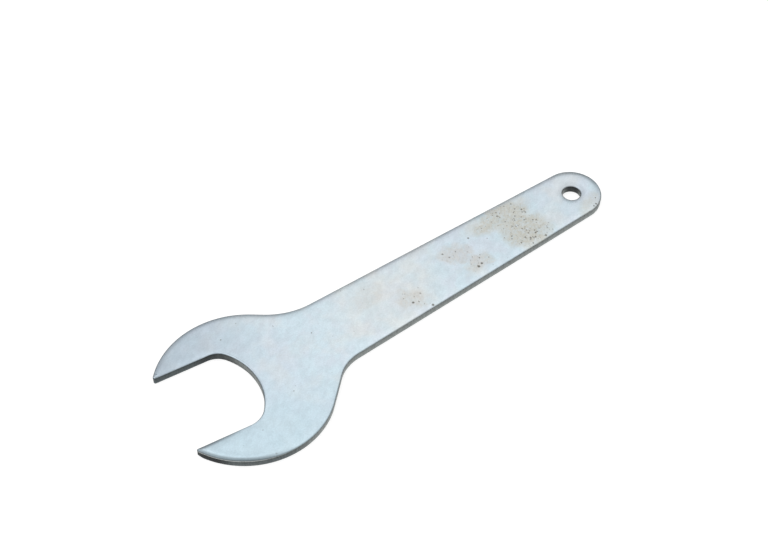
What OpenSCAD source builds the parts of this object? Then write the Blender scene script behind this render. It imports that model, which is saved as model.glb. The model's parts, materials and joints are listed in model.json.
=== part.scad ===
// Flat open-end spanner, blanked from one piece of steel sheet.
//
// The underside lies on Z = 0. The origin is where the centre line of the jaw
// crosses the centre line of the handle, and the handle runs along +X to the
// hanging hole. The mouth opens towards -X, and is turned towards +Y.

/* [Sheet] */
// Thickness of the steel sheet
thickness = 3; // [1.5:0.1:6]

/* [Jaw] */
// Width between the jaw's flats
jaw_size = 30.1; // [24:0.1:32]
// Angle between the jaw's centre line and the handle's
jaw_angle = 6.8; // [0:0.2:12]
// Depth of the throat behind the origin
throat_depth = 14.7; // [13:0.1:17]
// Radius of the throat's floor
throat_radius = 20.9; // [18:0.1:24]
// Radius of the throat's corner beside the upper flat
upper_corner_radius = 6.5; // [3:0.5:9]
// Radius of the throat's corner beside the lower flat
lower_corner_radius = 7.5; // [3:0.5:9]
// Radius of the nose at the end of the upper jaw
upper_nose_radius = 0.7; // [0.3:0.1:1.2]
// Radius of the nose at the end of the lower jaw
lower_nose_radius = 0.5; // [0.3:0.1:1.2]

/* [Head] */
// Radius of the arc round the upper jaw
upper_arc_radius = 28.8; // [27:0.1:32]
// Centre of the arc round the upper jaw, along the handle
upper_arc_x = 9.9; // [7:0.1:13]
// Centre of the arc round the upper jaw, across the handle
upper_arc_y = -2.4; // [-4:0.1:0]
// Radius of the arc round the lower jaw
lower_arc_radius = 27.7; // [27:0.1:32]
// Centre of the arc round the lower jaw, along the handle
lower_arc_x = 10.1; // [7:0.1:13]
// Centre of the arc round the lower jaw, across the handle
lower_arc_y = -3; // [-4:0.1:0]

/* [Neck] */
// Slope of the flank from the upper arc down to the handle
upper_flank_angle = 37.5; // [25:0.5:50]
// Radius of the fillet between the upper flank and the handle
upper_neck_radius = 24; // [8:1:30]
// Slope of the flank from the lower arc up to the handle
lower_flank_angle = 42; // [30:0.5:50]
// Radius of the fillet between the lower flank and the handle
lower_neck_radius = 14; // [8:1:30]

/* [Handle] */
// Distance from the origin to the centre of the hanging hole
hole_distance = 143.6; // [110:0.1:200]
// Radius of the round end of the handle
end_radius = 10; // [8:0.5:12]
// Angle that each edge of the handle makes with its centre line
taper_angle = 1.6; // [0:0.1:2]
// Diameter of the hanging hole
hole_diameter = 6; // [4:0.5:10]

/* [Hidden] */
$fn = 120;

// Turn between two points of an arc, in degrees, where that leaves them far enough apart
arc_step = 3;
// Least distance between two points of an arc
shortest_chord = 0.1;
// How far the hanging hole's cut runs past each face of the sheet
overrun = 1;

half_jaw = jaw_size / 2;
end_centre = [hole_distance, 0];
upper_arc_centre = [upper_arc_x, upper_arc_y];
lower_arc_centre = [lower_arc_x, lower_arc_y];
// The floor of the throat is round a point on the jaw's centre line
floor_centre = [throat_depth - throat_radius, 0];

// Unit vector at an angle from the +X axis
function direction(angle) = [cos(angle), sin(angle)];

// Angle of a vector from the +X axis, from 0 to 360
function angle_of(v) = (atan2(v.y, v.x) + 360) % 360;

// Turns a vector through an angle
function turned(v, angle) =
    [v.x * cos(angle) - v.y * sin(angle), v.x * sin(angle) + v.y * cos(angle)];

// Points along an arc from one angle to another, both ends included
function arc(centre, radius, start, finish) =
    let (
        step = max(arc_step, 2 * asin(shortest_chord / (2 * radius))),
        steps = ceil(abs(finish - start) / step)
    )
    [for (i = [0:steps]) centre + radius * direction(start + (finish - start) * i / steps)];

// Where two straight lines meet, each at a distance from the origin along its own unit normal
function meet(normal_a, distance_a, normal_b, distance_b) =
    let (cross = normal_a.x * normal_b.y - normal_a.y * normal_b.x)
    [distance_a * normal_b.y - distance_b * normal_a.y, distance_b * normal_a.x - distance_a * normal_b.x]
        / cross;

// Centre of a neck fillet, which lies outside the metal and touches the handle's edge and the flank.
// The edge is tangent to the handle's round end and the flank is tangent to the head's arc.
function neck_centre(edge_normal, flank_normal, arc_centre, arc_radius, radius) =
    meet(edge_normal, edge_normal * end_centre + end_radius + radius,
        flank_normal, flank_normal * arc_centre + arc_radius + radius);

// Centre of a jaw's nose, which lies inside the metal and touches the jaw's flat and the head's arc.
// side is +1 for the upper jaw and -1 for the lower one.
function nose_centre(side, arc_centre, arc_radius, radius) =
    let (centre = turned(arc_centre, jaw_angle), y = side * (half_jaw + radius))
    turned([centre.x - sqrt(pow(arc_radius - radius, 2) - pow(y - centre.y, 2)), y], -jaw_angle);

// Centre of a throat corner, in the jaw's own frame. It touches the jaw's flat and the throat's floor.
function corner_centre(side, radius) =
    let (y = side * (half_jaw - radius))
    floor_centre + [sqrt(pow(throat_radius - radius, 2) - y * y), y];

// Round end of the handle
function end_points() = arc(end_centre, end_radius, taper_angle - 90, 90 - taper_angle);

// Upper side, from the handle's edge round the neck and the head to the jaw's flat
function upper_points() =
    let (
        neck = neck_centre(direction(90 - taper_angle), direction(90 - upper_flank_angle),
            upper_arc_centre, upper_arc_radius, upper_neck_radius),
        nose = nose_centre(1, upper_arc_centre, upper_arc_radius, upper_nose_radius),
        nose_angle = angle_of(nose - upper_arc_centre)
    )
    concat(
        arc(neck, upper_neck_radius, 270 - taper_angle, 270 - upper_flank_angle),
        arc(upper_arc_centre, upper_arc_radius, 90 - upper_flank_angle, nose_angle),
        arc(nose, upper_nose_radius, nose_angle, 270 - jaw_angle)
    );

// Throat, from the upper flat round both corners to the lower flat
function throat_points() =
    let (
        upper = corner_centre(1, upper_corner_radius),
        lower = corner_centre(-1, lower_corner_radius),
        upper_angle = angle_of(upper - floor_centre),
        lower_angle = angle_of(lower - floor_centre) - 360,
        points = concat(
            arc(upper, upper_corner_radius, 90, upper_angle),
            arc(floor_centre, throat_radius, upper_angle, lower_angle),
            arc(lower, lower_corner_radius, lower_angle, -90)
        )
    )
    [for (p = points) turned(p, -jaw_angle)];

// Lower side, from the jaw's flat round the head and the neck to the handle's edge
function lower_points() =
    let (
        neck = neck_centre(direction(taper_angle - 90), direction(lower_flank_angle - 90),
            lower_arc_centre, lower_arc_radius, lower_neck_radius),
        nose = nose_centre(-1, lower_arc_centre, lower_arc_radius, lower_nose_radius),
        nose_angle = angle_of(nose - lower_arc_centre)
    )
    concat(
        arc(nose, lower_nose_radius, 90 - jaw_angle, nose_angle),
        arc(lower_arc_centre, lower_arc_radius, nose_angle, 270 + lower_flank_angle),
        arc(neck, lower_neck_radius, 90 + lower_flank_angle, 90 + taper_angle)
    );

module spanner() {
    color("lightsteelblue") difference() {
        linear_extrude(thickness)
            polygon(concat(end_points(), upper_points(), throat_points(), lower_points()));
        translate([hole_distance, 0, -overrun])
            cylinder(h = thickness + 2 * overrun, d = hole_diameter);
    }
}

spanner();
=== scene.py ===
import json
import math

import bmesh
import bpy
from mathutils import Matrix, Vector, kdtree, noise
from mathutils.geometry import delaunay_2d_cdt


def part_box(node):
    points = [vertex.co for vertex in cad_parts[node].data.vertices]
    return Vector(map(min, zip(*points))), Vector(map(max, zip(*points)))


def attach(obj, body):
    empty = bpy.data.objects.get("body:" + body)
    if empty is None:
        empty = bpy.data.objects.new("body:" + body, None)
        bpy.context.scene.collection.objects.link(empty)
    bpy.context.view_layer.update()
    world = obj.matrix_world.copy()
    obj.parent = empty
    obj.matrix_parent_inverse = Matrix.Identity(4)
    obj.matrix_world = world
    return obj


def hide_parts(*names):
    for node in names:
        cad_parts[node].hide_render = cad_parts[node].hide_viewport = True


# An open-end spanner, blanked from steel sheet and zinc plated, lying on a pale floor.
# Its body takes the outline of the CAD node and adds the edges that blanking leaves.

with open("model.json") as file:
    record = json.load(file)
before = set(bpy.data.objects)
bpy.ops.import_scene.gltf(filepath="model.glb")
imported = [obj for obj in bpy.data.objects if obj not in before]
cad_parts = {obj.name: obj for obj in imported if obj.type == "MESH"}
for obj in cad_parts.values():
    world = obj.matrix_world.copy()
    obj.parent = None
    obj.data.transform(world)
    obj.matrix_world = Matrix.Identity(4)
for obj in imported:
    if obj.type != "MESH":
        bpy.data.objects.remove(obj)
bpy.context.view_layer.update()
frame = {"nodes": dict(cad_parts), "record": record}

# A number times MM is a length in millimetres, turned into metres.
MM = 0.001
NODE = "spanner"
SLOT = "zinc_plated_steel"
mounts = {mount["name"]: mount for mount in frame["record"]["mounts"]}
lowest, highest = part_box(NODE)
middle = (lowest + highest) / 2
thickness = highest.z - lowest.z
hole_centre = Vector(mounts["hanging_hole"]["pos_m"][:2])
jaw_centre = Vector(mounts["jaw"]["pos_m"][:2])

# --- camera --------------------------------------------------------------------------------

# Angles in degrees, lens and sensor in millimetres
AZIMUTH = -38.0
ELEVATION = 49.45
ROLL = 1.3
LENS = 94.6
SENSOR = 36.0
DISTANCE = 649.5 * MM
AIM_OFFSET = Vector((2.05, 10.17, 1.1)) * MM


def make_camera():
    """A long lens aimed close to the top face, a little off the middle of the spanner."""
    azimuth, elevation = math.radians(AZIMUTH), math.radians(ELEVATION)
    back = Vector((
        math.sin(azimuth) * math.cos(elevation),
        -math.cos(azimuth) * math.cos(elevation),
        math.sin(elevation),
    ))
    aim = middle + AIM_OFFSET
    camera = bpy.data.objects.new("camera", bpy.data.cameras.new("camera"))
    level = back.to_track_quat("Z", "Y").to_matrix()
    roll = Matrix.Rotation(math.radians(ROLL), 3, "Z")
    camera.matrix_world = Matrix.Translation(aim + back * DISTANCE) @ (level @ roll).to_4x4()
    camera.data.lens = LENS
    camera.data.sensor_width = SENSOR
    bpy.context.scene.collection.objects.link(camera)
    bpy.context.scene.camera = camera


# --- outline -------------------------------------------------------------------------------

SAME_POINT = 0.001 * MM

# How much of a face's normal points up, at least on the top face and at most on a wall
TOP_NORMAL = 0.9
WALL_NORMAL = 0.1

# A side this many times as long as the next one is straight up to its end
STRAIGHT_SIDE = 3


def rim_loops(node):
    """The closed loops of points where the CAD node's top face meets its walls, longest first."""
    bm = bmesh.new()
    bm.from_mesh(node.data)
    bmesh.ops.remove_doubles(bm, verts=bm.verts, dist=SAME_POINT)
    neighbours = {}
    for edge in bm.edges:
        tops = sum(face.normal.z > TOP_NORMAL for face in edge.link_faces)
        walls = sum(abs(face.normal.z) < WALL_NORMAL for face in edge.link_faces)
        if tops == 1 and walls == 1:
            for here, there in (edge.verts, reversed(edge.verts)):
                neighbours.setdefault(here.index, []).append(there.index)
    points = {vert.index: vert.co.xy for vert in bm.verts}
    bm.free()
    loops = []
    while neighbours:
        loop = [next(iter(neighbours))]
        before = None
        while True:
            here = loop[-1]
            after = [i for i in neighbours.pop(here) if i != before][0]
            if after == loop[0]:
                break
            before = here
            loop.append(after)
        loops.append([points[i] for i in loop])
    return sorted(loops, key=length_around, reverse=True)


def length_around(loop):
    return sum((b - a).length for a, b in zip(loop, loop[1:] + loop[:1]))


def signed_area(loop):
    """The area inside a loop, less than 0 where the loop runs clockwise."""
    return sum(a.cross(b) for a, b in zip(loop, loop[1:] + loop[:1])) / 2


def direction_at(before, here, after):
    """The curve's direction at a point. A long straight side beside short steps gives its own."""
    a, b = here - before, after - here
    if a.length > STRAIGHT_SIDE * b.length:
        return a.normalized()
    if b.length > STRAIGHT_SIDE * a.length:
        return b.normalized()
    return (a.normalized() * b.length + b.normalized() * a.length).normalized()


def on_curve(p, m, q, n, t):
    """The place and the slope at t, from 0 to 1, on a cubic from p to q with slopes m and n."""
    place = p * (2 * t**3 - 3 * t**2 + 1) + m * (t**3 - 2 * t**2 + t)
    place += q * (3 * t**2 - 2 * t**3) + n * (t**3 - t**2)
    slope = (p - q) * (6 * t**2 - 6 * t) + m * (3 * t**2 - 4 * t + 1)
    slope += n * (3 * t**2 - 2 * t)
    return place, slope


def smooth_curve(loop, spacing):
    """The loop with its facets turned back into curves, as a list of (point, inward normal)."""
    count = len(loop)
    ways = [direction_at(loop[i - 1], loop[i], loop[(i + 1) % count]) for i in range(count)]
    curve = []
    for i in range(count):
        p, q = loop[i], loop[(i + 1) % count]
        chord = (q - p).length
        m, n = ways[i] * chord, ways[(i + 1) % count] * chord
        steps = max(1, round(chord / spacing))
        for k in range(steps):
            place, slope = on_curve(p, m, q, n, k / steps)
            slope.normalize()
            curve.append((place, Vector((-slope.y, slope.x))))
    return curve


# --- edges ---------------------------------------------------------------------------------

SPACING = 0.3 * MM
HOLE_SPACING = 0.15 * MM

# The body stays this far inside the CAD node's outline
CLEARANCE = 0.01 * MM

# The rolled upper edge of the blank: a gentle fall of the face, then a round.
# A slope is that of the face where the fall meets the round.
FALL_WIDTH = 2.4 * MM
FALL_SLOPE = 0.34
UPPER_FLAT_SLOPE = 0.3
LOWER_FLAT_SLOPE = 0.1
THROAT_SLOPE = 0.06
HOLE_SLOPE = 0.26
HANDLE_ROUND = 0.5 * MM
HEAD_ROUND = 0.3 * MM
JAW_FLAT_ROUND = 0.45 * MM
THROAT_ROUND = 0.6 * MM
LOWER_JAW_ROUND = 0.25 * MM
HOLE_ROUND = 0.5 * MM

# The round starts tilted by this many degrees, where it takes over from the fall
ROUND_START = 10.0
ROUND_STEPS = 6

# Where the edge changes from one shape to another: the value where the new shape starts, and
# the value where it has taken over
HANDLE_X = (34 * MM, 46 * MM)
MOUTH_RADIUS = (26 * MM, 22 * MM)
MOUTH_FACING = (-0.3, 0.3)
THROAT_X = (5 * MM, 13 * MM)
UPPER_FLAT_Y = (-4 * MM, 4 * MM)
LOWER_JAW_X = (12 * MM, 2 * MM)
LOWER_JAW_Y = (-8 * MM, -12 * MM)

# The wall below the round: a burnished land, then a torn band that leans in towards the bottom
LAND_DEPTH = 1.0 * MM
TORN_STEPS = 6
TORN_SETBACK = 0.1 * MM
TORN_ROUGHNESS = 0.015 * MM
TORN_GRAIN = 0.7 * MM
BOTTOM_ROUND = 0.04 * MM

# The slow unevenness of the faces, and the seed of each face's pattern
WAVE_DEPTH = 0.03 * MM
WAVE_LENGTH = 14 * MM
TOP_WAVE = 1
BOTTOM_WAVE = 7


def smooth(value, start, stop):
    """0 at start, 1 at stop, with an even S between."""
    t = min(1.0, max(0.0, (value - start) / (stop - start)))
    return t * t * (3 - 2 * t)


def blend(share, a, b):
    return a + (b - a) * share


def wave(place, seed):
    """How far a face lies inside its plane at a place, from 0 to WAVE_DEPTH."""
    spot = Vector((place.x, place.y, 0)) / WAVE_LENGTH + Vector((0, 0, seed))
    return WAVE_DEPTH * (0.5 + 0.5 * noise.noise(spot))


def outer_shape(place, inward):
    """The round's radius and the fall's slope at a place on the outer outline."""
    away = place - jaw_centre
    facing = smooth(inward.dot(away.normalized()), *MOUTH_FACING)
    mouth = facing * smooth(away.length, *MOUTH_RADIUS)
    throat = smooth(place.x, *THROAT_X)
    upper_flat = smooth(place.y, *UPPER_FLAT_Y)
    lower_jaw = smooth(place.y, *LOWER_JAW_Y) * smooth(place.x, *LOWER_JAW_X) * (1 - mouth)

    radius = blend(smooth(place.x, *HANDLE_X), HEAD_ROUND, HANDLE_ROUND)
    radius = blend(mouth, radius, blend(throat, JAW_FLAT_ROUND, THROAT_ROUND))
    radius = blend(lower_jaw, radius, LOWER_JAW_ROUND)
    flat_slope = blend(upper_flat, LOWER_FLAT_SLOPE, UPPER_FLAT_SLOPE)
    slope = blend(mouth, FALL_SLOPE, blend(throat, flat_slope, THROAT_SLOPE))
    return radius, slope


class Edge:
    """One place on an outline, and how its edge is shaped."""

    def __init__(self, place, inward, outer):
        self.place, self.inward = place, inward
        if outer:
            self.radius, self.slope = outer_shape(place, inward)
        else:
            self.radius, self.slope = HOLE_ROUND, HOLE_SLOPE

    def drop(self, distance):
        """How far the top face has dropped at a distance from this place."""
        if distance >= FALL_WIDTH:
            return 0.0
        return self.slope * (FALL_WIDTH - distance) ** 2 / (2 * FALL_WIDTH)

    def profile(self):
        """The cut edge from the top down, as (inset, height) pairs."""
        start = math.radians(ROUND_START)
        first = self.radius * (1 - math.sin(start))
        top = highest.z - self.drop(first) - wave(self.place, TOP_WAVE)
        pairs = []
        for k in range(ROUND_STEPS + 1):
            tilt = blend(k / ROUND_STEPS, start, math.pi / 2)
            height = top - self.radius * (math.cos(start) - math.cos(tilt))
            pairs.append((self.radius * (1 - math.sin(tilt)), height))
        torn_top = highest.z - LAND_DEPTH
        torn_bottom = lowest.z + BOTTOM_ROUND
        pairs.append((0.0, torn_top))
        for k in range(1, TORN_STEPS + 1):
            height = blend(k / TORN_STEPS, torn_top, torn_bottom)
            torn = noise.noise(Vector((self.place.x, self.place.y, height)) / TORN_GRAIN)
            pairs.append((TORN_SETBACK * k / TORN_STEPS + TORN_ROUGHNESS * (1 + torn), height))
        pairs.append((TORN_SETBACK + BOTTOM_ROUND, lowest.z))
        return pairs


class Outline:
    """All edges of the spanner and its hole, to ask how far inside them a place is."""

    def __init__(self, curves):
        self.edges = [edge for curve in curves for edge in curve]
        self.tree = kdtree.KDTree(len(self.edges))
        for i, edge in enumerate(self.edges):
            self.tree.insert(edge.place.to_3d(), i)
        self.tree.balance()

    def nearest(self, place):
        """The nearest edge, and the distance to it, less than 0 outside the metal."""
        _, i, _ = self.tree.find(place.to_3d())
        edge = self.edges[i]
        away = place - edge.place
        return edge, math.copysign(away.length, away.dot(edge.inward))


# --- body ----------------------------------------------------------------------------------

# The inner points of the faces: lines along the outline on the top face, and a grid on both
LINES = [inset * MM for inset in (0.3, 0.42, 0.56, 0.75, 1.0, 1.3, 1.65, 2.05)]
GRID_STEP = 1.1 * MM
TOP_MARGIN = 2.5 * MM
BOTTOM_MARGIN = 0.8 * MM

# A line's points lie its inset divided by LINE_FINENESS apart, and LINE_GAP clear of the round.
# Near a corner, a point is left out if an edge is closer to it than LINE_SHARE of the inset.
LINE_FINENESS = 1.5
LINE_GAP = 0.1 * MM
LINE_SHARE = 0.96

# The underside is level at its rim, and fully uneven from this far inside
LEVEL_RIM = 3 * MM

# What delaunay_2d_cdt calls triangles inside the outlines, and its tolerance
INSIDE_OUTLINES = 1
TOLERANCE = 0.0001 * MM

# The lower jaw's tip, where the underside is worn round
WORN_REACH = 2.2 * MM
WORN_LIFT = 0.5 * MM


def build_spanner():
    """The spanner with the edges that blanking leaves, closed and inside the CAD node's box."""
    curves = []
    for loop in rim_loops(frame["nodes"][NODE]):
        outer = not curves
        if (signed_area(loop) > 0) != outer:
            loop.reverse()
        curve = smooth_curve(loop, SPACING if outer else HOLE_SPACING)
        curves.append([Edge(place, inward, outer) for place, inward in curve])
    outline = Outline(curves)
    bm = bmesh.new()
    bm.verts.layers.float.new("rim")
    walls = [build_wall(bm, curve) for curve in curves]
    fill_face(bm, [top for top, _ in walls], outline, True)
    fill_face(bm, [bottom for _, bottom in walls], outline, False)
    wear_tip(bm)
    bm.normal_update()
    mesh = bpy.data.meshes.new("spanner_body")
    bm.to_mesh(mesh)
    bm.free()
    mesh.shade_smooth()
    body = bpy.data.objects.new("spanner_body", mesh)
    bpy.context.scene.collection.objects.link(body)
    return body


def build_wall(bm, curve):
    """The wall below one closed outline, returned as its top and bottom rings of points."""
    rim = bm.verts.layers.float["rim"]
    columns = []
    for edge in curve:
        column = []
        for inset, height in edge.profile():
            point = edge.place + edge.inward * (inset + CLEARANCE)
            column.append(bm.verts.new((point.x, point.y, height)))
            column[-1][rim] = inset
        columns.append(column)
    for left, right in zip(columns, columns[1:] + columns[:1]):
        for k in range(len(left) - 1):
            bm.faces.new((left[k], left[k + 1], right[k + 1], right[k]))
    return [column[0] for column in columns], [column[-1] for column in columns]


def line_places(outline):
    """Places on lines that follow the outline, where the top face falls away."""
    places = []
    for inset in LINES:
        step = max(1, round(inset / SPACING / LINE_FINENESS))
        for edge in outline.edges[::step]:
            if inset < edge.radius + LINE_GAP:
                continue
            spot = edge.place + edge.inward * inset
            if outline.nearest(spot)[1] > LINE_SHARE * inset:
                places.append(spot)
    return places


def grid_places(outline, margin):
    """Places on a staggered grid, more than a margin inside the outline."""
    places = []
    columns = int((highest.x - lowest.x) / GRID_STEP) + 1
    rows = int((highest.y - lowest.y) / GRID_STEP) + 1
    for column in range(columns):
        offset = 0.5 * (column % 2)
        for row in range(rows):
            x = lowest.x + column * GRID_STEP
            y = lowest.y + (row + offset) * GRID_STEP
            spot = Vector((x, y))
            if outline.nearest(spot)[1] > margin:
                places.append(spot)
    return places


def fill_face(bm, rings, outline, upward):
    """Triangles between the outer ring and the hole's, through points that give some relief."""
    rim = bm.verts.layers.float["rim"]
    verts = [vert for ring in rings for vert in ring]
    edges = []
    first = 0
    for ring in rings:
        edges += [(first + i, first + (i + 1) % len(ring)) for i in range(len(ring))]
        first += len(ring)
    if upward:
        places = line_places(outline) + grid_places(outline, TOP_MARGIN)
    else:
        places = grid_places(outline, BOTTOM_MARGIN)
    for spot in places:
        edge, distance = outline.nearest(spot)
        if upward:
            height = highest.z - wave(spot, TOP_WAVE) - edge.drop(distance)
        else:
            height = lowest.z + smooth(distance, 0.0, LEVEL_RIM) * wave(spot, BOTTOM_WAVE)
        verts.append(bm.verts.new((spot.x, spot.y, height)))
        verts[-1][rim] = distance
    flat = [vert.co.xy for vert in verts]
    _, _, faces, _, _, _ = delaunay_2d_cdt(flat, edges, [], INSIDE_OUTLINES, TOLERANCE)
    hole = range(len(rings[0]), len(rings[0]) + len(rings[1]))
    for face in faces:
        if all(i in hole for i in face):
            continue
        corners = [verts[i] for i in face]
        bm.faces.new(corners if upward else corners[::-1])


def wear_tip(bm):
    """Lift the underside round the lower jaw's tip."""
    lower_side = [vert.co.xy for vert in bm.verts if vert.co.y < jaw_centre.y]
    tip = min(lower_side, key=lambda spot: spot.x)
    for vert in bm.verts:
        near = 1 - smooth((vert.co.xy - tip).length, 0.0, WORN_REACH)
        low = (highest.z - vert.co.z) / thickness
        vert.co.z += WORN_LIFT * near * low


# --- material nodes ------------------------------------------------------------------------


class Tree:
    """A material's nodes, with short calls for the sums that the patterns need."""

    def __init__(self, name):
        self.material = bpy.data.materials.new(name)
        self.material.use_nodes = True
        self.nodes = self.material.node_tree.nodes
        self.links = self.material.node_tree.links
        self.shader = self.nodes["Principled BSDF"]

    def new(self, kind, **settings):
        node = self.nodes.new(kind)
        for key, value in settings.items():
            setattr(node, key, value)
        return node

    def put(self, value, socket):
        """Link a socket's value to another socket, or set it there if it is a constant."""
        if isinstance(value, bpy.types.NodeSocket):
            self.links.new(value, socket)
        else:
            socket.default_value = value

    def math(self, operation, a, b=0.0):
        node = self.new("ShaderNodeMath", operation=operation)
        self.put(a, node.inputs[0])
        self.put(b, node.inputs[1])
        return node.outputs[0]

    def times(self, a, b):
        return self.math("MULTIPLY", a, b)

    def add(self, a, b):
        return self.math("ADD", a, b)

    def smooth(self, value, start, stop, low=0.0, high=1.0):
        """low at start, high at stop, with an even S between."""
        node = self.new("ShaderNodeMapRange", interpolation_type="SMOOTHSTEP")
        for given, socket in zip((value, start, stop, low, high), node.inputs):
            self.put(given, socket)
        return node.outputs[0]

    def mix(self, factor, a, b, blend_type="MIX"):
        """Two colours mixed. The colour sockets come after those for numbers and vectors."""
        node = self.new("ShaderNodeMix", data_type="RGBA", blend_type=blend_type)
        self.put(factor, node.inputs[0])
        self.put(a, node.inputs[6])
        self.put(b, node.inputs[7])
        return node.outputs[2]

    def shaded(self, base, shade):
        """A colour multiplied by a number."""
        grey = self.new("ShaderNodeCombineColor")
        for socket in grey.inputs[:3]:
            self.put(shade, socket)
        return self.mix(1.0, base, grey.outputs[0], "MULTIPLY")

    def darkened(self, shade, mask, level):
        """A shade multiplied by level where the mask is 1, and left alone where it is 0."""
        return self.times(shade, self.smooth(mask, 0, 1, 1.0, level))

    def split(self, vector):
        """The x, y and z of a vector."""
        node = self.new("ShaderNodeSeparateXYZ")
        self.put(vector, node.inputs[0])
        return node.outputs

    def noise(self, where, size, detail=2.0, roughness=0.5):
        """Noise from 0 to 1 with features about a size, in millimetres."""
        node = self.new("ShaderNodeTexNoise")
        self.put(where, node.inputs["Vector"])
        node.inputs["Scale"].default_value = 1 / (size * MM)
        node.inputs["Detail"].default_value = detail
        node.inputs["Roughness"].default_value = roughness
        return node.outputs["Fac"]

    def moved(self, where, offset=(0, 0, 0), turn=0.0, scale=(1, 1, 1)):
        """Coordinates for a pattern that is scaled, turned in degrees and moved by millimetres."""
        node = self.new("ShaderNodeMapping", vector_type="TEXTURE")
        self.put(where, node.inputs["Vector"])
        node.inputs["Location"].default_value = Vector(offset) * MM
        node.inputs["Rotation"].default_value = (0, 0, math.radians(turn))
        node.inputs["Scale"].default_value = scale
        return node.outputs[0]

    def pushed(self, where, size, reach):
        """Coordinates pushed about by noise of a size, up to half of reach each way."""
        warp = self.new("ShaderNodeTexNoise")
        self.put(where, warp.inputs["Vector"])
        warp.inputs["Scale"].default_value = 1 / (size * MM)
        warp.inputs["Detail"].default_value = 3
        centred = self.new("ShaderNodeVectorMath", operation="SUBTRACT")
        self.put(warp.outputs["Color"], centred.inputs[0])
        centred.inputs[1].default_value = (0.5, 0.5, 0.5)
        moved = self.new("ShaderNodeVectorMath", operation="MULTIPLY_ADD")
        self.put(centred.outputs[0], moved.inputs[0])
        moved.inputs[1].default_value = (reach * MM, reach * MM, 0)
        self.put(where, moved.inputs[2])
        return moved.outputs[0]

    def blob(self, where, x, y, long, wide, turn=0.0, soft=0.35):
        """1 inside an ellipse and 0 outside it, with soft times its size each way between.

        The middle and the half-lengths are in millimetres, and the turn is in degrees.
        """
        local = self.split(self.moved(where, (x, y, 0), turn, (long * MM, wide * MM, 1)))
        along = self.times(local[0], local[0])
        across = self.times(local[1], local[1])
        far = self.math("SQRT", self.add(along, across))
        return self.smooth(far, 1 + soft, 1 - soft)

    def any_of(self, masks):
        total = masks[0]
        for mask in masks[1:]:
            total = self.math("MAXIMUM", total, mask)
        return total


def colour(r, g, b):
    return (r, g, b, 1.0)


# --- zinc plating --------------------------------------------------------------------------

ZINC = colour(0.615, 0.735, 0.80)
BLUE = colour(0.53, 0.675, 0.75)
VIOLET = colour(0.595, 0.70, 0.80)
LAVENDER = colour(0.655, 0.71, 0.785)
WARM = colour(0.74, 0.755, 0.74)
STAIN = colour(0.64, 0.64, 0.585)
TAN = colour(0.67, 0.645, 0.60)
DARK_STAIN = colour(0.43, 0.43, 0.38)
SPECK = colour(0.13, 0.12, 0.10)
# Cut-edge colours: CUT is sheared steel made darker as painted shade on the walls, and the two
# darker ones are deeper painted shade
CUT = colour(0.215, 0.235, 0.23)
PAINTED_SHADE_CUT = colour(0.072, 0.087, 0.09)
PAINTED_DEEP_SHADE_CUT = colour(0.012, 0.014, 0.015)
# A burnished land, painted lighter as a painted highlight
BURNISH_AND_HIGHLIGHT = colour(0.62, 0.65, 0.64)

# Parts of the spanner as soft ellipses, in millimetres and degrees: middle x and y,
# half-length, half-width, turn, softness. The horn is the upper jaw.
HORN = (-8, 22, 28, 26, 0, 1.0)
HORN_TIP = (-12, 17, 8, 8, 0, 0.8)
LOWER_JAW = (2, -24, 26, 17, 0, 0.8)
LOWER_EDGE = (-10, -21, 16, 9, -40, 0.8)
MOUTH = (-1, 0, 18.5, 18.5, 0, 0.1)
THROAT = (14, 4, 7, 14, 0, 0.4)
WARM_MIDDLE = (66, 0, 17, 13, 0, 0.7)
ROUND_END = (150, 5, 9, 9, 0, 0.4)
MOUTH_WALLS = (-2, 0, 20.5, 20.5, 0, 0.05)
CORNER_WALLS = (9, 13, 6, 5, -45, 0.6)
OUTER_JAW_WALLS = (-5, -28, 18, 12, 0, 0.4)
TIP_WALLS = (-15, -18, 6, 4, -40, 0.5)
HOLE_X, HOLE_Y = hole_centre / MM
HOLE_WALLS = (HOLE_X + 2, HOLE_Y + 1.8, 2.6, 2.6, 0, 0.5)

# Painted shade on parts of the faces, over the upper jaw: the part and its level
PAINTED_SHADE_PARTS = (
    (HORN, 0.79),
    (HORN_TIP, 0.89),
)

# Painted shade in a thin dark rim of the faces: how far from the outline it ends and how far
# it is full, its level, and how much of it the mouth has
PAINTED_RIM_SHADE = (0.6 * MM, 0.1 * MM)
PAINTED_RIM_SHADE_LEVEL = 0.6
PAINTED_RIM_SHADE_IN_MOUTH = 0.5

# Bands of painted shade along the outline: the part, how far from the outline the band is full
# and how far it reaches, in millimetres, and its level
PAINTED_SHADE_BANDS = (
    (THROAT, 0.3, 1.1, 0.74),
    (ROUND_END, 0.5, 3.0, 0.82),
    (LOWER_EDGE, 1.2, 4.5, 0.88),
    (LOWER_EDGE, 0.3, 1.9, 0.36),
)

# Stains on the top face: middle x and y, half-length, half-width, turn, strength
STAINS = (
    (117.5, 5.8, 11, 4.5, 0, 0.95),
    (120.5, -3.5, 7.5, 8, 0, 1.0),
    (109, 7, 4, 2.5, 20, 0.5),
    (95.5, 1.5, 5.5, 3.5, -35, 0.55),
    (99.5, -5.5, 4.5, 3.2, 0, 0.65),
    (72.5, -5, 4.5, 4.5, -35, 0.6),
    (62, 4, 6, 4.5, 15, 0.3),
    (146, -8, 6, 3, 30, 0.45),
    (30, 0, 8, 3, 10, 0.15),
)

# Masks, each with the value where it is 0 and the value where it is 1. A wall is told by how
# much its normal points up, the upper side and the land by height, and the others by x.
WALL_NORMALS = (0.8, 0.35)
UPPER_SIDE = (0.3 * thickness, 0.7 * thickness)
ABOVE_LAND_BOTTOM = (2.25 * MM, 2.4 * MM)
BELOW_LAND_TOP = (2.65 * MM, 2.55 * MM)
GREY_STAINS = (100 * MM, 107 * MM)
FLAT_WALLS = (15 * MM, 7 * MM)
THROAT_WALLS = (9 * MM, 13 * MM)

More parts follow.
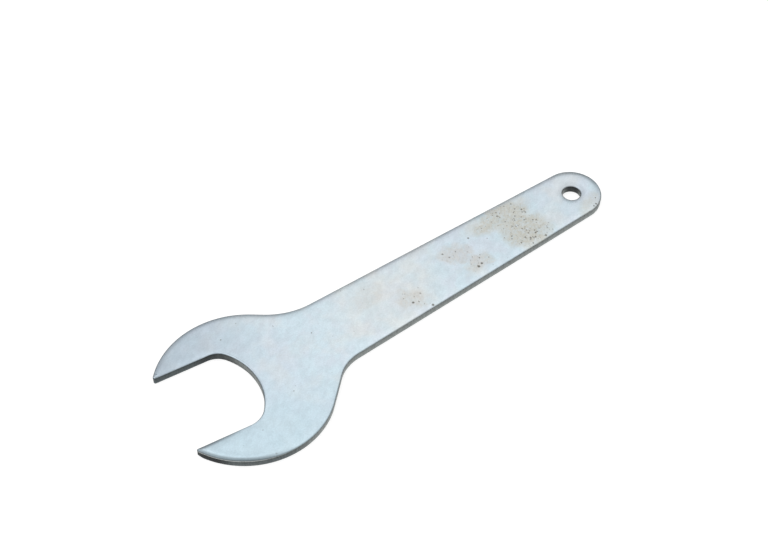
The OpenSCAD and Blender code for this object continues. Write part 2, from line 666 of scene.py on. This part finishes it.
# Pits on the top face: x, y, radius
PITS = (
    (98.2, -7.1, 0.45),
    (99.8, -6.6, 0.4),
    (103, 4.5, 0.3),
    (71.8, -6.6, 0.4),
    (76.4, -11, 0.4),
    (124.5, -9.5, 0.35),
    (118.4, -6.2, 0.25),
    (119.6, -7.6, 0.3),
    (120.4, -5.4, 0.25),
    (121.2, -8.1, 0.3),
    (122.4, -6.7, 0.3),
    (148.5, -6.5, 0.2),
    (147, -8.6, 0.3),
    (145.8, -8.9, 0.25),
    (38.5, 2.5, 0.2),
    (14, 17, 0.2),
)
PIT_STRENGTH = 0.85

# Small specks: their cells' size, and how the cells are pushed about, in millimetres
SPECK_CELL = 0.8
SPECK_PUSH_SIZE = 0.4
SPECK_PUSH_REACH = 0.6

# The roughness is ROUGHNESS and up to the spread more, with more again on stains and walls
METALLIC = 0.92
ROUGHNESS = 0.26
ROUGHNESS_SPREAD = 0.16
STAIN_ROUGHNESS = 0.18
WALL_ROUGHNESS = 0.16

# The bump's depth, and each pattern's height as a multiple of it
BUMP_DEPTH = 0.02 * MM
GRAIN_BUMP = 0.35
RIPPLE_BUMP = 0.5
TORN_BUMP = 2.0
SPECK_BUMP = 1.5


def make_zinc():
    """Bright zinc plating with a thin blue passivate, stained and speckled, darker where cut, with
    painted shade on the faces and walls and a painted highlight on one land.
    """
    tree = Tree(SLOT)
    coords = tree.new("ShaderNodeTexCoord")
    where = coords.outputs["Object"]
    place = tree.split(where)
    normal = tree.split(coords.outputs["Normal"])
    rim = tree.new("ShaderNodeAttribute", attribute_name="rim").outputs["Fac"]
    wall = tree.smooth(tree.math("ABSOLUTE", normal[2]), *WALL_NORMALS)
    upper = tree.smooth(place[2], *UPPER_SIDE)
    stain = stain_mask(tree, where, upper)
    specks = speck_mask(tree, where, stain, upper)

    face = tree.mix(stain, face_colour(tree, where, rim), stain_colour(tree, where, place))
    face = tree.mix(specks, face, SPECK)
    cut = cut_colour(tree, where, place)
    tree.put(tree.mix(wall, face, cut), tree.shader.inputs["Base Color"])
    tree.shader.inputs["Metallic"].default_value = METALLIC

    rough = tree.add(tree.times(tree.noise(where, 3.0, 3), ROUGHNESS_SPREAD), ROUGHNESS)
    rough = tree.add(rough, tree.times(stain, STAIN_ROUGHNESS))
    rough = tree.add(rough, tree.times(wall, WALL_ROUGHNESS))
    tree.put(rough, tree.shader.inputs["Roughness"])

    bump = tree.new("ShaderNodeBump")
    bump.inputs["Strength"].default_value = 1.0
    bump.inputs["Distance"].default_value = BUMP_DEPTH
    tree.put(relief(tree, where, wall, specks), bump.inputs["Height"])
    tree.put(bump.outputs[0], tree.shader.inputs["Normal"])
    return tree.material


def relief(tree, where, wall, specks):
    """Fine grain and ripples, with upright streaks on the walls and hollows at the specks."""
    grain = tree.noise(where, 0.5, 3, 0.6)
    ripple = tree.noise(where, 1.6, 2)
    torn = tree.noise(tree.moved(where, scale=(1, 1, 6)), 0.25, 3, 0.6)
    height = tree.add(tree.times(grain, GRAIN_BUMP), tree.times(ripple, RIPPLE_BUMP))
    height = tree.add(height, tree.times(tree.times(torn, wall), TORN_BUMP))
    return tree.math("SUBTRACT", height, tree.times(specks, SPECK_BUMP))


def face_colour(tree, where, rim):
    """Blue, lavender and warm mottling, with painted shade over the upper jaw and along the
    outline.
    """
    streaks = tree.moved(where, turn=35, scale=(1.6, 1, 1))
    clouds = tree.smooth(tree.noise(where, 8, 3), 0.42, 0.66)
    patches = tree.smooth(tree.noise(streaks, 3.2, 3), 0.42, 0.7)
    warmth = tree.smooth(tree.noise(tree.moved(where, (31, 17, 5)), 9, 2), 0.46, 0.68)
    warmth = tree.times(tree.add(warmth, tree.blob(where, *WARM_MIDDLE)), 0.4)
    base = tree.mix(tree.times(clouds, 0.6), ZINC, LAVENDER)
    base = tree.mix(tree.times(patches, 0.35), base, LAVENDER)
    base = tree.mix(warmth, base, WARM)
    base = tree.mix(tree.times(tree.blob(where, *LOWER_JAW), 0.8), base, BLUE)
    base = tree.mix(tree.times(tree.blob(where, *HORN), 0.7), base, VIOLET)
    return tree.shaded(base, face_shade(tree, where, streaks, rim))


def face_shade(tree, where, streaks, rim):
    """Slight mottling, with painted shade on the darker parts and in bands along the outline."""
    coarse = tree.smooth(tree.noise(streaks, 1.8, 4, 0.65), 0.25, 0.75, 0.94, 1.06)
    fine = tree.smooth(tree.noise(where, 0.5, 2), 0.2, 0.8, 0.95, 1.05)
    shade = tree.times(coarse, fine)
    # Painted shade over the upper jaw and its tip
    for part, level in PAINTED_SHADE_PARTS:
        shade = tree.darkened(shade, tree.blob(where, *part), level)

    # Painted shade in a thin dark rim along the outline, weaker in the mouth
    weight = tree.smooth(tree.blob(where, *MOUTH), 0, 1, 1.0, PAINTED_RIM_SHADE_IN_MOUTH)
    painted_rim_shade = tree.times(weight, tree.smooth(rim, *PAINTED_RIM_SHADE))
    shade = tree.darkened(shade, painted_rim_shade, PAINTED_RIM_SHADE_LEVEL)
    # Painted shade in bands along the throat, the round end and the lower jaw's edge
    for part, full, reach, level in PAINTED_SHADE_BANDS:
        near = tree.smooth(rim, reach * MM, full * MM)
        shade = tree.darkened(shade, tree.times(tree.blob(where, *part), near), level)
    return shade


def stain_colour(tree, where, place):
    """Tan and grey, with darker streaks."""
    streaks = tree.noise(tree.moved(where, turn=50, scale=(2.5, 1, 1)), 0.45, 4, 0.7)
    tone = tree.mix(tree.smooth(place[0], *GREY_STAINS), TAN, STAIN)
    return tree.mix(tree.smooth(streaks, 0.42, 0.68, 0.0, 0.45), tone, DARK_STAIN)


def stain_mask(tree, where, upper):
    """Uneven stains: soft ellipses whose edges are pushed about by noise."""
    pushed = tree.pushed(where, 5, 8)
    masks = []
    for x, y, long, wide, turn, strength in STAINS:
        mask = tree.blob(pushed, x, y, long, wide, turn)
        masks.append(tree.times(mask, strength))
    cloudy = tree.smooth(tree.noise(where, 1.1, 5, 0.75), 0.33, 0.6, 0.4, 1.0)
    return tree.times(tree.times(tree.any_of(masks), cloudy), upper)


def speck_mask(tree, where, stain, upper):
    """Dark specks: many in the stains, a few elsewhere, and the larger pits."""
    cells = tree.new("ShaderNodeTexVoronoi")
    pushed = tree.pushed(where, SPECK_PUSH_SIZE, SPECK_PUSH_REACH)
    tree.put(pushed, cells.inputs["Vector"])
    cells.inputs["Scale"].default_value = 1 / (SPECK_CELL * MM)
    cells.inputs["Randomness"].default_value = 1.0
    lot = tree.new("ShaderNodeSeparateColor")
    tree.put(cells.outputs["Color"], lot.inputs[0])
    least = tree.smooth(stain, 0.25, 0.9, 0.99, 0.3)
    wanted = tree.math("GREATER_THAN", lot.outputs[0], least)
    size = tree.smooth(lot.outputs[1], 0.2, 1, 0.12, 0.42)
    dot = tree.smooth(tree.math("DIVIDE", cells.outputs["Distance"], size), 0.6, 1.2, 1.0, 0.0)
    strength = tree.smooth(stain, 0.1, 0.7, 0.35, 0.75)
    dots = tree.times(tree.times(dot, wanted), strength)
    pits = [tree.blob(where, x, y, radius, radius, 0, 0.5) for x, y, radius in PITS]
    pits = tree.times(tree.times(tree.any_of(pits), upper), PIT_STRENGTH)
    return tree.math("MAXIMUM", dots, pits)


def cut_colour(tree, where, place):
    """The cut edge: grey sheared steel, with painted shade making it darker in the jaws and near
    black at the tip, the throat corner and the hole, and a painted highlight on the lower jaw's
    land.
    """
    mouth = tree.blob(where, *MOUTH_WALLS)
    flats = tree.times(mouth, tree.smooth(place[0], *FLAT_WALLS))
    throat = tree.times(mouth, tree.smooth(place[0], *THROAT_WALLS))
    above = tree.smooth(place[2], *ABOVE_LAND_BOTTOM)
    below = tree.smooth(place[2], *BELOW_LAND_TOP)
    # The lower jaw's burnished land, with a painted highlight
    burnish_and_highlight = tree.times(tree.times(tree.blob(where, *LOWER_EDGE), above), below)
    layers = (
        # Painted shade in the jaws, the throat corner, the tip and the hole's far walls
        (tree.blob(where, *OUTER_JAW_WALLS), 0.85, PAINTED_SHADE_CUT),
        (flats, 1.0, PAINTED_SHADE_CUT),
        (tree.blob(where, *CORNER_WALLS), 0.6, PAINTED_DEEP_SHADE_CUT),
        (tree.blob(where, *TIP_WALLS), 0.95, PAINTED_DEEP_SHADE_CUT),
        (burnish_and_highlight, 0.9, BURNISH_AND_HIGHLIGHT),
        (tree.blob(where, *HOLE_WALLS), 0.85, PAINTED_DEEP_SHADE_CUT),
    )
    base = CUT
    for mask, strength, paint in layers:
        base = tree.mix(tree.times(mask, strength), base, paint)

    # Upright stripes, with painted shade low in the throat and painted light bounced from the
    # floor close to it
    stripes = tree.noise(tree.moved(where, scale=(1, 1, 5)), 0.5, 4, 0.7)
    shade = tree.smooth(stripes, 0.25, 0.75, 0.75, 1.3)
    painted_throat_shade = tree.smooth(place[2], 0.2 * thickness, 0.7 * thickness, 0.55, 1.0)
    shade = tree.darkened(shade, throat, painted_throat_shade)
    painted_floor_bounce = tree.smooth(place[2], 0, 0.7 * thickness, 1.3, 0.9)
    return tree.shaded(base, tree.times(shade, painted_floor_bounce))


# --- studio --------------------------------------------------------------------------------

# The sky's brightness at heights from the horizon (0) to straight above (1)
SKY = (
    (0.0, 0.12),
    (0.28, 0.16),
    (0.38, 0.28),
    (0.47, 0.5),
    (0.57, 0.8),
    (0.67, 1.01),
    (0.73, 1.07),
    (0.8, 1.09),
    (0.87, 1.12),
    (0.95, 1.15),
    (1.0, 1.0),
)
SKY_PEAK = max(brightness for _, brightness in SKY)

FLOOR_REACH = 3.0
FLOOR_BASE = 0.4
FLOOR_GLOW = 0.74

# Metres and watts
SOFTBOX_PLACE = Vector((-0.5, 0.3, 1.1))
SOFTBOX_SIZE = 0.9
SOFTBOX_POWER = 3


def make_sky():
    """White light, brightest a little off straight above, and dark towards the horizon."""
    world = bpy.data.worlds.new("studio")
    bpy.context.scene.world = world
    world.use_nodes = True
    nodes, links = world.node_tree.nodes, world.node_tree.links
    coords = nodes.new("ShaderNodeTexCoord")
    split = nodes.new("ShaderNodeSeparateXYZ")
    ramp = nodes.new("ShaderNodeValToRGB")
    links.new(coords.outputs["Generated"], split.inputs[0])
    links.new(split.outputs[2], ramp.inputs[0])
    while len(ramp.color_ramp.elements) < len(SKY):
        ramp.color_ramp.elements.new(0.5)
    for element, (height, brightness) in zip(ramp.color_ramp.elements, SKY):
        element.position = height
        element.color = [brightness / SKY_PEAK] * 3 + [1]
    background = nodes["Background"]
    links.new(ramp.outputs[0], background.inputs["Color"])
    background.inputs["Strength"].default_value = SKY_PEAK


def make_floor():
    """A wide pale floor that glows, so that it is evenly bright to its edges."""
    mesh = bpy.data.meshes.new("floor")
    reach = FLOOR_REACH
    corners = [(-reach, -reach, 0), (reach, -reach, 0), (reach, reach, 0), (-reach, reach, 0)]
    mesh.from_pydata(corners, [], [(0, 1, 2, 3)])
    floor = bpy.data.objects.new("floor", mesh)
    floor.location.z = lowest.z
    bpy.context.scene.collection.objects.link(floor)
    tree = Tree("pale_floor")
    tree.shader.inputs["Base Color"].default_value = colour(FLOOR_BASE, FLOOR_BASE, FLOOR_BASE)
    tree.shader.inputs["Roughness"].default_value = 1.0
    tree.shader.inputs["Specular IOR Level"].default_value = 0.0
    tree.shader.inputs["Emission Color"].default_value = colour(1, 1, 1)
    tree.shader.inputs["Emission Strength"].default_value = FLOOR_GLOW
    mesh.materials.append(tree.material)


def make_softbox():
    """A weak square light high up beyond the jaws, aimed at the spanner."""
    light = bpy.data.lights.new("softbox", "AREA")
    light.energy = SOFTBOX_POWER
    light.size = SOFTBOX_SIZE
    softbox = bpy.data.objects.new("softbox", light)
    softbox.location = middle + SOFTBOX_PLACE
    softbox.rotation_euler = (middle - softbox.location).to_track_quat("-Z", "Y").to_euler()
    bpy.context.scene.collection.objects.link(softbox)


bpy.context.scene.view_settings.view_transform = "Standard"
make_camera()
make_sky()
make_floor()
make_softbox()
body = build_spanner()
body.data.materials.append(make_zinc())
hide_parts(NODE)
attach(body, "root")
